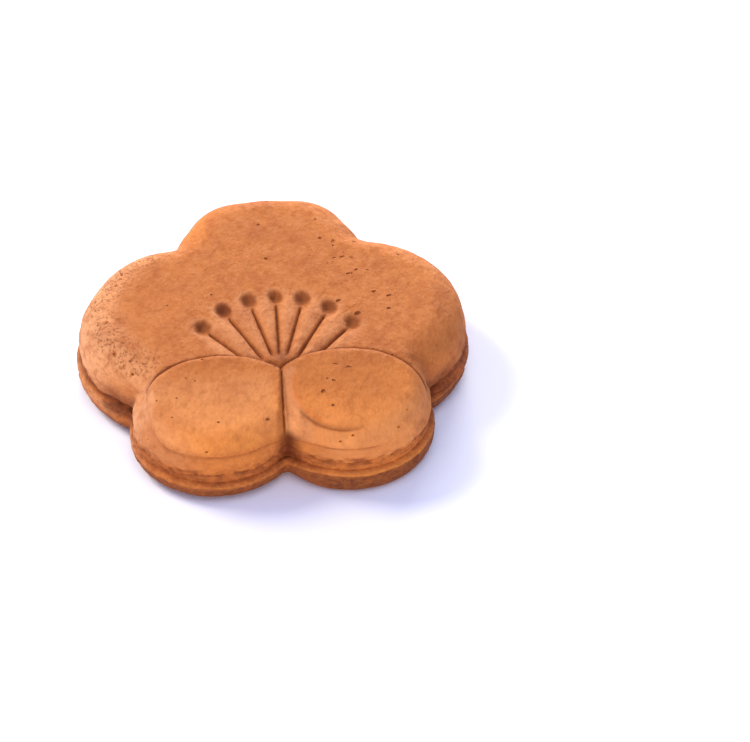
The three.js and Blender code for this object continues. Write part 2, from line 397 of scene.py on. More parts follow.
def fan_lines(graph, size):
    """The stamens' tips as points, and a line from each tip to where it meets the pads."""
    loose = graph.node("GeometryNodePoints", inputs={"Count": STAMENS})
    loose = graph.node("GeometryNodePointsToVertices", inputs={"Points": loose})
    across = graph.node("GeometryNodeInputIndex") * (2.0 / (STAMENS - 1)) - 1.0
    angle = across * (0.87 + across * across * 0.13) * size["Fan Half Angle"] + size["Fan Turn"]
    length = STAMEN_LENGTH - across * across * OUTER_STAMENS_SHORTER
    tip_x = graph.math("SINE", angle) * length
    tip_y = graph.math("COSINE", angle) * length + ROOT_Y
    inputs = {"Geometry": loose, "Position": graph.combine(tip_x, tip_y)}
    tips = graph.node("GeometryNodeSetPosition", inputs=inputs)
    aim_y = ROOT_Y - graph.math("ABSOLUTE", across) * OUTER_STAMENS_AIM
    run = graph.combine(-tip_x * LINE_SHARE, (aim_y - tip_y) * LINE_SHARE)
    inputs = {"Mesh": tips, "Offset": run}
    return tips, graph.node("GeometryNodeExtrudeMesh", {"mode": "VERTICES"}, inputs)


def stamens(graph, x, y, within, size):
    """The fan, with a dimple at its root: the relief, the painted shade in the pits, lines and dimple, and
    the painted highlights on the ridges between.
    """
    tips, lines = fan_lines(graph, size)
    here = graph.combine(x, y)
    aside = graph.nearest("EDGES", lines, here).named("Distance")
    tip_x, tip_y, _ = graph.split(graph.nearest("POINTS", tips, here).named("Position"))
    off_tip = graph.length(x - tip_x, (y - tip_y) * PIT_SQUEEZE) * 0.85 + aside * 0.15
    off_tip = off_tip + graph.noise(here, 1.5, detail=1.0) * 0.22
    behind_pads = graph.share(within, 0.05, -0.2)
    from_root = graph.length(x, y - ROOT_Y)
    past_root = graph.smooth(from_root, 2.8, 5.6)

    middle_one = graph.bell(tip_x / 2.5)
    radius = size["Anther Radius"] - middle_one * MIDDLE_PIT_SMALLER
    bowl = graph.smooth(off_tip, radius * 1.25, radius * 0.1)
    clear = graph.smooth(off_tip, radius * 0.7, radius * 1.15)
    groove = graph.bell(aside / LINE_WIDTH) * LINE_DEPTH
    groove = groove + graph.bell(aside / LINE_BED_WIDTH) * LINE_BED_DEPTH
    pit = bowl * size["Anther Depth"] + graph.bell(off_tip / (radius * 1.8)) * PIT_RIM_DEPTH
    dimple = graph.bell(graph.length(x - 0.5, (y - ROOT_Y - 3.2) * 0.8) / 1.5)
    relief = behind_pads * (dimple * -ROOT_DIMPLE_DEPTH - groove * clear * past_root - pit)

    # Painted shade: a pit is darkest at its back, where shade falls. The second from the left has
    # the darkest painted shade, the middle and the last ones the palest.
    line = graph.bell(aside / LINE_SHADE_WIDTH) * past_root
    line = line * graph.smooth(off_tip, radius * 0.45, radius * 0.75)
    in_pit = graph.smooth(off_tip, radius * 1.15, radius * 0.7)
    shaded = in_pit * graph.smooth(y - tip_y, -2.0, 0.7, 0.28, 1.0)
    shade_amount = graph.bell((tip_x + 9.3) / 2.5) * 0.18 + 0.68
    shade_amount = shade_amount - middle_one * 0.12 - graph.smooth(tip_x, 11.0, 13.0) * 0.1
    mark = behind_pads * graph.largest(shaded * shade_amount, line * 0.85, dimple * 0.7)
    # Painted highlight on the ridges between the lines.
    ridge_highlight = graph.smooth(aside, 3.4, 2.0) * graph.smooth(aside, 0.2, 1.0)
    ridge_highlight = ridge_highlight * graph.smooth(from_root, 3.0, 6.0) * 0.6
    return relief, mark, ridge_highlight * (1.0 - in_pit) * behind_pads


# --- The whole bun ---

# The tree's inputs, which bear the names of the settings that feed them.
LENGTHS = [
    "Thickness", "Lip Height", "Shell Inset", "Shoulder Width", "Pad Rise", "Anther Radius",
    "Anther Depth", "Unevenness", "Crumb Depth", "Lean",
]
NUMBERS = ["Front Slope", "Fan Half Angle", "Fan Turn", "Pore Density"]


def round_the_side(graph, angle):
    """Where the bun departs from its plain section, by the direction from its middle.

    These are the front petals and their outer flanks, the cleft between them, the nooks beside them,
    and the sides, whose waist is nearly closed.
    """
    aim_x = graph.math("COSINE", angle)
    aim_y = graph.math("SINE", angle)
    front = graph.smooth(aim_y, -0.48, -0.64)
    sides = graph.smooth(aim_y, 0.6, 0.3)
    flank = front * graph.smooth(aim_y, -0.84, -0.66) * graph.smooth(aim_x, 0.5, -0.5, 0.25, 1.0)
    return SimpleNamespace(
        aim_x=aim_x,
        front=front,
        left_front=front * graph.smooth(aim_x, 0.1, -0.2),
        right_front=front * graph.smooth(aim_x, -0.1, 0.2),
        flank=flank,
        cleft=front * graph.bell(aim_x / 0.05),
        nook=graph.smooth(aim_y, -0.28, -0.47) * graph.share(aim_y, -0.56, -0.52),
        beside=graph.smooth(aim_y, -0.5, -0.4) * sides,
        closed=graph.smooth(aim_y, -0.47, -0.36) * sides,
    )


def along_section(graph, station):
    """How far through each stretch of the section a station is, from 0 to 1."""
    return SimpleNamespace(
        top=graph.share(station, 0.0, TOP_END),
        shoulder=graph.share(station, TOP_END, SHOULDER_END),
        belly=graph.share(station, SHOULDER_END, BELLY_END),
        waist=graph.share(station, BELLY_END, WAIST_END),
        lip_top=graph.share(station, WAIST_END, WALL_END),
        lip=graph.share(station, WALL_END, LIP_END),
        shell=graph.share(station, LIP_END, SHELL_END),
        foot=graph.share(station, SHELL_END, 1.0),
    )


def moved(at, start, moves):
    """A length after every feature at hand has moved it."""
    for feature, distance in moves.items():
        start = start + getattr(at, feature) * distance
    return start


def side_section(graph, through, at, size):
    """The section of the side: the crease, the shoulder, how far in a point is and how far down."""
    inset_of = {line: moved(at, *inset) for line, inset in SIDE_INSETS.items()}
    crease_up = moved(at, *CREASE_HEIGHT)
    belly_up = moved(at, *BELLY_HEIGHT)
    shoulder_width = size["Shoulder Width"] * (1.0 - at.front * 0.4 - at.flank * 0.3)
    shell_in = size["Shell Inset"] * (1.0 - at.right_front * 0.45)

    left_inset = 1.0 - through.shoulder
    inset = inset_of["crease"] + shoulder_width * left_inset * left_inset
    inset = inset + eased(graph, through.belly) * (inset_of["belly"] - inset_of["crease"])
    inset = inset + eased(graph, through.waist) * (inset_of["waist"] - inset_of["belly"])
    inset = inset + eased(graph, through.lip_top) * (inset_of["lip"] - inset_of["waist"])
    inset = inset - graph.math("SINE", through.lip * QUARTER_TURN) * inset_of["lip"]
    inset = inset + shell_in * (1.0 - graph.math("COSINE", through.shell * QUARTER_TURN))

    drop = through.belly * (crease_up - belly_up) + through.waist * (belly_up - WAIST_HEIGHT)
    drop = drop + through.lip_top * (WAIST_HEIGHT - LIP_TOP_HEIGHT)
    return inset_of["crease"], crease_up, shoulder_width, inset, drop


def side_marks(graph, x, y, station, through, at):
    """Painted shade in the lines of the side: the crease, the flank's fold, the shut waist, and the
    cleft's seam.
    """
    creased = graph.bell((station - SHOULDER_END) / 0.011) * at.front
    creased = creased * graph.share(graph.noise(graph.combine(x, y), 5.0), -0.35, 0.3, 0.05, 0.35)
    creased = creased * graph.smooth(x, 19.0, 14.0) * (1.0 - at.flank * 0.6)
    folded = graph.bell((through.shoulder - 0.7) / 0.2) * at.flank * 0.14
    shut = graph.bell((station - WAIST_END + 0.01) / 0.02) * at.closed * 0.6
    seam = graph.smooth(station, TOP_END + 0.05, SHOULDER_END - 0.02)
    seam = seam * graph.smooth(station, LIP_END, WAIST_END)
    seam = seam * graph.bell((at.aim_x - 0.01) / 0.06) * at.front
    return graph.largest(creased, folded, shut, seam)


def bun_tree(material):
    """The tree that forms the whole bun. Inside it, a length is in drawn millimetres."""
    inputs = [("Marks", "Geometry"), *[(name, "Float") for name in LENGTHS + NUMBERS], ("Seed", "Int")]
    tree = new_geometry_tree("Plum Blossom Bun", inputs, [("Bun", "Geometry")])
    graph = Graph(tree)
    given = graph.node("NodeGroupInput")
    size = {name: given.named(name) / MM for name in LENGTHS}
    size.update({name: given.named(name) for name in NUMBERS})

    reach_tree = outline_reach_tree()
    lip_outline = Outline(graph, reach_tree, 0.0)
    top_outline = Outline(graph, reach_tree, 1.0)
    sphere = graph.node("GeometryNodeMeshUVSphere", inputs={"Segments": SEGMENTS, "Rings": RINGS})
    sphere_x, sphere_y, sphere_z = graph.split(graph.node("GeometryNodeInputPosition"))
    angle = graph.math("ARCTAN2", sphere_y, sphere_x)
    station = graph.math("ARCTAN2", graph.length(sphere_x, sphere_y), sphere_z) / math.pi

    # Each point of the sphere goes to its place on the bun, seen from above.
    through = along_section(graph, station)
    at = round_the_side(graph, angle)
    crease_in, crease_up, shoulder_width, inset, drop = side_section(graph, through, at, size)
    wall = drop / (crease_up - LIP_TOP_HEIGHT)
    low = lip_outline.reach_at_inset(angle, inset)
    high = top_outline.reach_at_inset(angle, inset)
    reach = graph.mix(wall, high, low) * through.top * (1.0 - through.foot)
    flat = top_outline.place(angle, reach)
    x, y, _ = graph.split(flat)

    # Its height is the top's, rounded down to the crease, and less below that.
    inside = top_outline.inset(flat)
    within, pads, pad_shade, bevel_highlight = front_petals(graph, x, y, size)
    fan, fan_shade, ridge_highlight = stamens(graph, x, y, within, size)
    fall = size["Front Slope"] * graph.math("MAXIMUM", SLOPE_START - y, 0.0)
    level = size["Thickness"] - size["Unevenness"] * 0.5 - size["Pad Rise"] - fall + pads + fan
    on_top = graph.math("LESS_THAN", station, SHOULDER_END)
    dome_share = graph.share((inside - crease_in) / shoulder_width, 0.0, 1.0)
    dome = graph.mix(SHOULDER_CORNER, graph.quarter_round(dome_share), dome_share) * on_top
    height = graph.mix(dome, crease_up, level)
    height = height - drop
    lip_drop = LIP_TOP_HEIGHT - size["Lip Height"]
    height = height - lip_drop * (1.0 - graph.math("COSINE", through.lip * QUARTER_TURN))
    height = height - size["Lip Height"] * graph.math("SINE", through.shell * QUARTER_TURN)
    # The lip does not run quite level round the front petals.
    round_lip = graph.smooth(station, BELLY_END, WAIST_END) * graph.smooth(station, SHELL_END, LIP_END)
    height = height + moved(at, 0.0, LIP_RAISED) * round_lip
    x = x + size["Lean"] * graph.smooth(y, 3.0, 22.0)

    # What the finish needs to know is kept on the points.
    # Painted shade in the pits, grooves, creases and clefts, kept to darken the crust where shade falls in
    # them.
    top_shade = graph.largest(pad_shade, fan_shade) * on_top
    mark = graph.largest(top_shade, side_marks(graph, x, y, station, through, at))
    body = store(graph, sphere, "station", station)
    body = store(graph, body, "painted_shade", mark)
    body = store(graph, body, "nook", at.nook)
    # Painted highlights on the lit ledges and ridges of the top.
    body = store(graph, body, "highlit", graph.largest(bevel_highlight, ridge_highlight) * on_top)
    inputs = {"Geometry": body, "Position": graph.combine(x, y, height)}
    body = graph.node("GeometryNodeSetPosition", inputs=inputs)
    body = weathered(graph, body, size)
    body = pored(graph, body, given, size)

    inputs = {"Geometry": body, "Scale": (MM, MM, MM)}
    body = graph.node("GeometryNodeTransform", inputs=inputs)
    body = graph.node("GeometryNodeSetShadeSmooth", inputs={"Geometry": body})
    body = graph.node("GeometryNodeRealizeInstances", inputs={"Geometry": body})
    body = graph.node("GeometryNodeSetMaterial", inputs={"Geometry": body, "Material": material})
    graph.node("NodeGroupOutput", inputs={"Bun": body})
    return tree


def eased(graph, share):
    """Goes from 0 to 1 with the share, slowly at both ends."""
    return 0.5 - graph.math("COSINE", share * math.pi) * 0.5


def store(graph, geometry, name, value):
    """Keeps a value on every point, for the material and for later steps."""
    inputs = {"Geometry": geometry, "Name": name, "Value": value}
    return graph.node("GeometryNodeStoreNamedAttribute", {"data_type": "FLOAT"}, inputs)


def stored(graph, name):
    return graph.node("GeometryNodeInputNamedAttribute", {"data_type": "FLOAT"}, {"Name": name})


# --- The skin ---


def weathered(graph, body, size):
    """Moves the skin in and out: slow swells, wrinkles, crumbs at the waist and grain at the left."""
    place = graph.node("GeometryNodeInputPosition")
    x, y, z = graph.split(place)
    station = stored(graph, "station")

    swell = (graph.noise(place, 14.0) * 0.9 + graph.noise(place, 4.5) * 0.8) * size["Unevenness"]
    skin = graph.noise(place, 1.8) * SKIN_DEPTH
    drawn_out = graph.combine(x * 0.22, y + graph.noise(place, 9.0) * 1.5, z)
    streaks = graph.noise(drawn_out, 1.6) * graph.smooth(y, 6.0, 16.0) * STREAK_DEPTH

    on_wall = graph.smooth(station, SHOULDER_END - 0.04, SHOULDER_END)
    on_wall = on_wall * graph.smooth(station, WAIST_END, BELLY_END)
    wrinkles = graph.noise(graph.combine(x * 0.16, y * 0.16, z), 1.2, detail=3.0) * on_wall
    wrinkles = wrinkles * WRINKLE_DEPTH
    fold = graph.bell((station - SHOULDER_END) / 0.008) * graph.smooth(y, -16.0, -24.0)
    fold = fold * graph.share(graph.noise(place, 8.0), -0.5, 0.3, 0.35, 1.0)
    fold = fold * graph.smooth(x, 20.0, 14.0) * -FOLD_DEPTH

    torn = graph.bell((station - WAIST_END + 0.015) / 0.05)
    torn_place = graph.combine(x * 0.5, y * 0.5, z)
    lumps = graph.node("ShaderNodeTexVoronoi", {"feature": "F1"}, {"Vector": torn_place, "Scale": 0.95})
    crumbs = graph.noise(torn_place, 1.0, detail=4.0, roughness=0.7) * 1.2 - lumps * 0.9 + 0.4
    crumbs = graph.math("MINIMUM", crumbs, 0.15) * torn
    lip = graph.bell((station - LIP_END) / 0.04)
    nibbled = (graph.noise(place, 1.8, detail=4.0, roughness=0.7) - 0.75) * lip * NIBBLE_DEPTH

    swirled = graph.combine(x + graph.noise(place, 2.0) * 0.8, y * 0.7, z)
    grain = graph.smooth(graph.noise(swirled, 0.6, detail=3.0), 0.05, 0.4)
    grain = grain * grain_band(graph, x, y, station) * -GRAIN_DEPTH

    off_table = graph.smooth(station, SHELL_END - 0.005, SHELL_END - 0.06)
    offset = swell + skin + streaks + wrinkles + fold + crumbs * size["Crumb Depth"] + nibbled + grain
    body = store(graph, body, "crumb", crumbs)
    normal = graph.node("GeometryNodeInputNormal")
    inputs = {"Geometry": body, "Offset": graph.scaled(normal, offset * off_table)}
    return graph.node("GeometryNodeSetPosition", inputs=inputs)


def grain_band(graph, x, y, station):
    """1 along the start of the left-hand shoulder, where the crust is coarse, and less below it."""
    start = graph.bell((station - TOP_END - 0.03) / 0.05) * 0.8
    below = graph.smooth(station, TOP_END, TOP_END + 0.06)
    below = below * graph.smooth(station, WAIST_END, BELLY_END) * 0.3
    return (start + below) * graph.smooth(x, -12.0, -22.0) * graph.smooth(y, -19.0, -13.0)


# --- The pores ---

FINE_PORE_RADII = (0.1, 0.22)
FINE_PORE_FLATNESS = 0.8
MARK_FLATNESS = 0.6
MARK_GIRTH = 1.12  # a ball is this much wider than its mark, since it stands half out of the skin
BALL_SUBDIVISIONS = 3
LET_DOWN_FROM = 30.0  # a height well above the bun

# The crust's plainest pores and slits, as (x, y, radius, stretch, turn in degrees).
MARKS = [
    (-11.9, -29.1, 0.22, 1.0, 0),
    (-14.4, -34.3, 0.2, 1.2, 0),
    (-24.4, -27.2, 0.2, 1.3, 20),
    (-3.2, -29.1, 0.28, 1.2, 20),
    (7.1, -23.7, 0.34, 1.3, 60),
    (8.6, -27.0, 0.3, 1.0, 0),
    (8.1, -20.9, 0.2, 1.3, 30),
    (9.2, -21.4, 0.24, 1.4, -30),
    (11.5, -33.2, 0.24, 1.0, 0),
    (9.2, -33.8, 0.2, 1.4, 40),
    (19.8, -31.6, 0.22, 1.0, 0),
    (9.9, -17.8, 0.14, 4.2, -20),
    (12.2, -18.5, 0.17, 3.2, -12),
    (-0.7, 23.9, 0.22, 1.3, 10),
    (-0.1, 13.8, 0.28, 1.1, 0),
    (9.9, 24.4, 0.18, 1.2, 80),
    (10.3, 18.8, 0.28, 1.0, 0),
    (12.6, 17.8, 0.26, 1.3, 80),
    (12.5, 16.4, 0.2, 1.4, 80),
    (16.5, 17.8, 0.28, 1.2, -60),
    (13.9, 13.0, 0.2, 2.6, 12),
    (12.4, 12.9, 0.18, 1.5, 0),
    (16.1, 9.0, 0.26, 1.4, 50),
    (14.5, 8.0, 0.22, 1.8, 20),
    (15.5, 12.6, 0.18, 2.0, -40),
    (18.7, 2.4, 0.26, 1.6, 30),
    (21.3, 1.0, 0.27, 1.8, 24),
    (20.9, -2.6, 0.3, 1.2, 0),
    (12.0, 0.6, 0.32, 1.5, 30),
    (15.1, -3.4, 0.48, 1.3, 30),
    (18.1, 8.8, 0.14, 2.0, 0),
    (24.2, 12.7, 0.16, 1.4, 0),
    (-10.8, 4.4, 0.22, 1.0, 0),
    (-26.3, -14.3, 0.24, 2.6, 40),
    (-29.3, -9.4, 0.22, 2.4, 50),
    (-19.0, 2.0, 0.14, 1.6, 20),
]


def pored(graph, body, given, size):
    """Cuts the pores: the scattered fine ones, and the marks that the tree is given."""
    fine = fine_pores(graph, body, given, size)
    coarse = marked_pores(graph, body, given)
    joined = graph.node("GeometryNodeJoinGeometry")
    for cutters in (fine, coarse):
        graph.tree.links.new(cutters.output, joined.output.node.inputs[0])
    cutters = graph.node("GeometryNodeRealizeInstances", inputs={"Geometry": joined})
    cutters = store(graph, cutters, "pore", 1.0)
    settings = {"operation": "DIFFERENCE", "solver": "MANIFOLD"}
    return graph.node("GeometryNodeMeshBoolean", settings, {"Mesh 1": body, "Mesh 2": cutters})


def fine_pores(graph, body, given, size):
    """Balls strewn over the top, in patches, and closer together where the back petal meets the right."""
    _, _, facing_up = graph.split(graph.node("GeometryNodeInputNormal"))
    place = graph.node("GeometryNodeInputPosition")
    x, y, _ = graph.split(place)
    patches = graph.smooth(graph.noise(place, 11.0, detail=1.0), 0.0, 0.5)
    gathered = graph.bell(graph.length(x - 14.0, y - 10.0) / 7.0) * 3.0
    density = size["Pore Density"] * (patches + gathered) * graph.share(facing_up, 0.2, 0.6)
    seed = given.named("Seed")
    inputs = {"Mesh": body, "Density": density, "Seed": seed}
    points = graph.node("GeometryNodeDistributePointsOnFaces", inputs=inputs)
    smallest, largest = FINE_PORE_RADII
    inputs = {2: smallest, 3: largest, "Seed": seed}
    radius = graph.node("FunctionNodeRandomValue", {"data_type": "FLOAT"}, inputs)
    return instance_pores(graph, points, radius, graph.combine(1.0, 1.0, FINE_PORE_FLATNESS), None)


def marked_pores(graph, body, given):
    """A ball at each given mark, let down onto the skin."""
    place = graph.scaled(graph.node("GeometryNodeInputPosition"), 1.0 / MM)
    inputs = {
        "Target Geometry": body,
        "Source Position": graph.vector("ADD", place, (0.0, 0.0, LET_DOWN_FROM)),
        "Ray Direction": (0.0, 0.0, -1.0),
        "Ray Length": LET_DOWN_FROM,
    }
    down = graph.node("GeometryNodeRaycast", {"data_type": "FLOAT"}, inputs)
    marks = graph.node("GeometryNodeMeshToPoints", inputs={"Mesh": given.named("Marks")})
    inputs = {"Geometry": marks, "Position": down.named("Hit Position")}
    marks = graph.node("GeometryNodeSetPosition", inputs=inputs)
    radius = stored(graph, "girth") * MARK_GIRTH
    shape = graph.combine(stored(graph, "stretch"), 1.0, MARK_FLATNESS)
    turn = graph.combine(0.0, 0.0, stored(graph, "turn"))
    return instance_pores(graph, marks, radius, shape, turn)


def instance_pores(graph, points, radius, shape, turn):
    """A small uneven ball at each point."""
    inputs = {"Radius": 1.0, "Subdivisions": BALL_SUBDIVISIONS}
    ball = graph.node("GeometryNodeMeshIcoSphere", inputs=inputs)
    place = graph.node("GeometryNodeInputPosition")
    bumpy = graph.scaled(place, 1.0 + graph.noise(place, 0.9) * 0.25)
    ball = graph.node("GeometryNodeSetPosition", inputs={"Geometry": ball, "Position": bumpy})
    inputs = {"Points": points, "Instance": ball, "Scale": graph.scaled(shape, radius)}
    if turn is not None:
        inputs["Rotation"] = turn
    return graph.node("GeometryNodeInstanceOnPoints", inputs=inputs)


# --- The piece ---


def marks_object():
    """A point for each plain mark, with its radius, stretch and turn."""
    mesh = bpy.data.meshes.new("bun_crust")
    mesh.from_pydata([(x * MM, y * MM, 0.0) for x, y, *_ in MARKS], [], [])
    columns = {"girth": 2, "stretch": 3, "turn": 4}
    for name, column in columns.items():
        layer = mesh.attributes.new(name, "FLOAT", "POINT")
        for value, mark in zip(layer.data, MARKS):
            value.value = math.radians(mark[column]) if name == "turn" else mark[column]
    piece = bpy.data.objects.new("bun_crust", mesh)
    bpy.context.scene.collection.objects.link(piece)
    return piece


def set_inputs(modifier, values):
    """Gives a Geometry Nodes modifier its inputs, by the names of the tree's sockets."""
    for item in modifier.node_group.interface.items_tree:
        if item.item_type == "SOCKET" and item.in_out == "INPUT" and item.name in values:
            modifier[item.identifier] = values[item.name]


def as_plain_mesh(piece):
    """Swaps a piece's mesh for what its modifiers make of it, and removes them."""
    evaluated = piece.evaluated_get(bpy.context.evaluated_depsgraph_get())
    result = bpy.data.meshes.new_from_object(evaluated)
    piece.modifiers.clear()
    old = piece.data
    piece.data = result
    bpy.data.meshes.remove(old)
    result.name = piece.name
    result.set_sharp_from_angle(angle=SHARP_ANGLE)


# --- Finish ---

BUMP_HEIGHT = 0.16  # of the crust's finest grain


def new_material(name):
    """An empty material, and the graph of its nodes."""
    material = bpy.data.materials.new(name)
    material.use_nodes = True
    material.node_tree.nodes.clear()
    return material, Graph(material.node_tree)


def crust_material(look):
    """Baked crust: orange-brown and matt, with painted highlights where it is lit, painted shade in its
    hollows, and browner below, partly painted shade.
    """
    material, graph = new_material("baked_crust")
    at = crust_point(graph)
    fine = graph.noise(at.stretched, 0.5, detail=3.0, roughness=0.6)
    soft = graph.noise(at.stretched, 1.3, detail=3.0)
    swirled = graph.noise(graph.combine(at.x + soft * 0.5, at.y * 0.7, at.z), 0.5, detail=3.0)
    grain = graph.smooth(swirled, 0.05, 0.45) * grain_band(graph, at.x, at.y, at.station)
    relief = fine * 0.4 + soft - grain * 1.6
    bump = graph.node("ShaderNodeBump", inputs={"Distance": BUMP_HEIGHT * MM, "Height": relief})
    inputs = {
        "Base Color": crust_colour(graph, at, look, grain),
        "Roughness": graph.share(at.mottle, -0.6, 0.6, 0.6, 0.8),
        "Specular IOR Level": 0.12,
        "Normal": bump,
    }
    shader = graph.node("ShaderNodeBsdfPrincipled", inputs=inputs)
    graph.node("ShaderNodeOutputMaterial", inputs={"Surface": shader})
    return material


def crust_point(graph):
    """What the finish goes by at a point: its place in millimetres, what is kept there, and noises."""
    place = graph.scaled(graph.node("ShaderNodeTexCoord").named("Object"), 1.0 / MM)
    x, y, z = graph.split(place)
    stretched = graph.combine(x, y * 0.75, z)
    station = attribute(graph, "station")
    edge = graph.smooth(station, TOP_END - 0.06, TOP_END + 0.08)
    facing_front = graph.smooth(y, -20.0, -28.0)
    return SimpleNamespace(
        place=place,
        x=x,
        y=y,
        z=z,
        stretched=stretched,
        station=station,
        nook=attribute(graph, "nook"),
        edge=edge * graph.smooth(station, WAIST_END, BELLY_END),
        right_wall=graph.smooth(x, 2.0, 8.0) * facing_front,
        left_wall=graph.smooth(x, 2.0, -4.0) * facing_front,
        far_left=graph.smooth(x, -24.0, -32.0),
        mottle=graph.noise(stretched, 1.8, detail=3.0, roughness=0.6),
    )


def crust_colour(graph, at, look, grain):
    """The crust's colour, with painted light and shade: coats of (strength, colour), each laid over the
    ones before it.
    """
    shadow_right_of_pad = graph.bell(graph.length(at.x - 15.0, at.y + 24.0) / 6.5)
    low_left = at.left_wall * graph.smooth(at.station, TOP_END + 0.08, SHOULDER_END)
    low_right = at.right_wall * graph.smooth(at.station, TOP_END + 0.1, SHOULDER_END + 0.02)
    coats = [
        # Painted light: the front slopes are a brighter, warmer orange where they face the lamps, held
        # back by a painted shadow right of the right-hand pad.
        (graph.smooth(at.y, -13.0, -33.0) * (1.0 - shadow_right_of_pad * 0.65), look.front_lit_colour),
        # Painted highlight on the lit back edges.
        (at.edge * graph.smooth(at.y, -6.0, 6.0) * 0.6, look.front_lit_colour),
        (painted_highlights(graph, at), look.pale_and_highlight_colour),
        # Painted shade on the front walls below the shoulders, deepest on the left-hand one.
        (low_left * 0.42, look.side_colour),
        (low_right * 0.2, look.side_colour),
        *waist_coats(graph, at, look),
        *mottled_coats(graph, at, look),
        # Painted shade in the pits, grooves, creases and clefts.
        (attribute(graph, "painted_shade") * 0.95, look.painted_shade_colour),
        (attribute(graph, "pore") * 0.55, look.brown_colour),
        (grain * 0.7, look.side_colour),
    ]
    colour = (*look.top_colour, 1.0)
    for strength, tone in coats:
        colour = graph.blend(strength, colour, (*tone, 1.0))
    return colour


def painted_highlights(graph, at):
    """Painted highlights: the lit left-hand edges, the ridges of the fan, the front walls."""
    rolled_under = graph.smooth(at.station, TOP_END + 0.1, SHOULDER_END) * at.nook
    left_edge = at.edge * graph.smooth(at.x, -12.0, -26.0) * graph.smooth(at.y, -13.0, -3.0, 0.55, 0.95)
    highlit = left_edge * (1.0 - rolled_under * 0.7) + attribute(graph, "highlit") * 0.42
    left_pad = graph.smooth(at.x, 0.0, -3.0) * graph.smooth(at.y, -16.0, -22.0)
    left_pad = left_pad * graph.smooth(at.y, PAD_FRONT_Y, -28.0)
    # Painted highlight on the lit corner of the left pad's flank.
    pad_corner = graph.bell(graph.length(at.x + 26.0, at.y + 21.5) / 3.2)
    return graph.largest(highlit, left_pad * 0.22, at.right_wall * at.edge * 0.25) + pad_corner * 0.45


def waist_coats(graph, at, look):
    """The waist, the nooks and the shell under the lip: browner crust, partly painted shade; the lit rim
    of the lip gets painted highlights.
    """
    station = at.station
    layered = graph.combine(at.x * 0.6, at.y * 0.6, at.z)
    layered = graph.noise(layered, 0.7, detail=4.0, roughness=0.65)
    left_lip = at.far_left * (1.0 - at.nook * 0.8)

    waist = graph.smooth(station, BELLY_END, WAIST_END) * graph.smooth(station, LIP_END, WALL_END)
    waist = waist * (1.0 - at.right_wall * 0.35 - left_lip * 0.7 - at.left_wall * 0.3)
    rim = graph.smooth(station, WAIST_END, WALL_END) * graph.smooth(station, LIP_END + 0.02, LIP_END)
    dark_rim = rim * (1.0 - at.right_wall * 0.6 - left_lip * 0.4)

    past_lip = station + at.mottle * 0.01 + graph.smooth(at.x, -4.0, 4.0) * 0.012 - at.far_left * 0.02
    # The shell under the lip faces down: its brown is partly the crust's own, partly painted shade.
    shell = graph.smooth(past_lip, LIP_END - 0.012, LIP_END + 0.015)
    shell = shell * graph.share(layered, -0.3, 0.3, 0.7, 0.97)
    shell = shell * graph.smooth(station, SHELL_END - 0.04, SHELL_END, 1.0, 0.65)
    # The nooks: partly browned crust, partly painted shade under the overhang.
    nook_browning_and_shade = graph.smooth(station, SHOULDER_END, BELLY_END)
    nook_browning_and_shade = nook_browning_and_shade * graph.smooth(station, LIP_END, WALL_END, 0.25, 0.85)
    nook_browning_and_shade = nook_browning_and_shade * graph.share(at.nook, 0.02, 0.6) * graph.share(layered, -0.4, 0.3, 0.65, 1.0)
    # Painted shade in the hollows between the crumbs.
    crumb_hollows = graph.share(attribute(graph, "crumb"), 0.05, -0.35, 0.0, 0.6)
    return [
        # The waist is browner crust, partly painted shade; the lit rim of the lip gets painted highlights.
        (waist * graph.share(layered, -0.4, 0.1, 0.45, 0.95), look.side_colour),
        (rim * left_lip * 0.5, look.pale_and_highlight_colour),
        (rim * at.right_wall * 0.3, look.front_lit_colour),
        (dark_rim * graph.share(layered, -0.1, 0.3, 0.0, 0.35), look.brown_colour),
        (graph.largest(shell, nook_browning_and_shade), look.brown_colour),
        (crumb_hollows, look.brown_colour),
    ]


def mottled_coats(graph, at, look):
    """The unevenness of the browning, from broad clouds down to fine specks."""
    broad = graph.noise(at.place, 9.0)
    patches = graph.noise(at.stretched, 3.6, detail=3.0)
    specks = graph.noise(at.stretched, 0.7, detail=3.0, roughness=0.6)
    calm = graph.smooth(at.y, -14.0, -20.0, 1.0, 0.75)
    calm = calm - at.right_wall * graph.smooth(at.y, -29.0, -32.0) * 0.4
    return [
        (graph.share(broad, -0.1, 0.5, 0.0, 0.35), look.side_colour),
        (graph.share(patches, -0.05, 0.45, 0.0, 0.4) * calm, look.side_colour),
        (graph.share(at.mottle, -0.05, 0.45, 0.0, 0.4) * calm, look.side_colour),
        (graph.share(specks, 0.0, 0.5, 0.0, 0.38) * calm, look.side_colour),
        (graph.share(specks, 0.0, -0.5, 0.0, 0.1) * calm, look.pale_and_highlight_colour),
    ]


def attribute(graph, name):
    return graph.node("ShaderNodeAttribute", {"attribute_name": name}).named("Fac")


def table_material(look):
    material, graph = new_material("pale_table")
    inputs = {
        "Base Color": (*look.table_colour, 1.0),
        "Roughness": 0.6,
        "Specular IOR Level": 0.2,
    }
    shader = graph.node("ShaderNodeBsdfPrincipled", inputs=inputs)
    graph.node("ShaderNodeOutputMaterial", inputs={"Surface": shader})
    return material


# --- Settings ---


def length_property(name, description, millimetres):
    default = millimetres * MM
    return FloatProperty(
        name=name, description=description, default=default, min=0.0, unit="LENGTH", precision=5
    )


def angle_property(name, description, degrees):
    default = math.radians(degrees)
    return FloatProperty(name=name, description=description, default=default, subtype="ANGLE")


def number_property(name, description, default):
    return FloatProperty(name=name, description=description, default=default, min=0.0)


def colour_property(name, description, default):
    return FloatVectorProperty(
        name=name, description=description, default=default, subtype="COLOR", min=0.0, max=1.0
    )


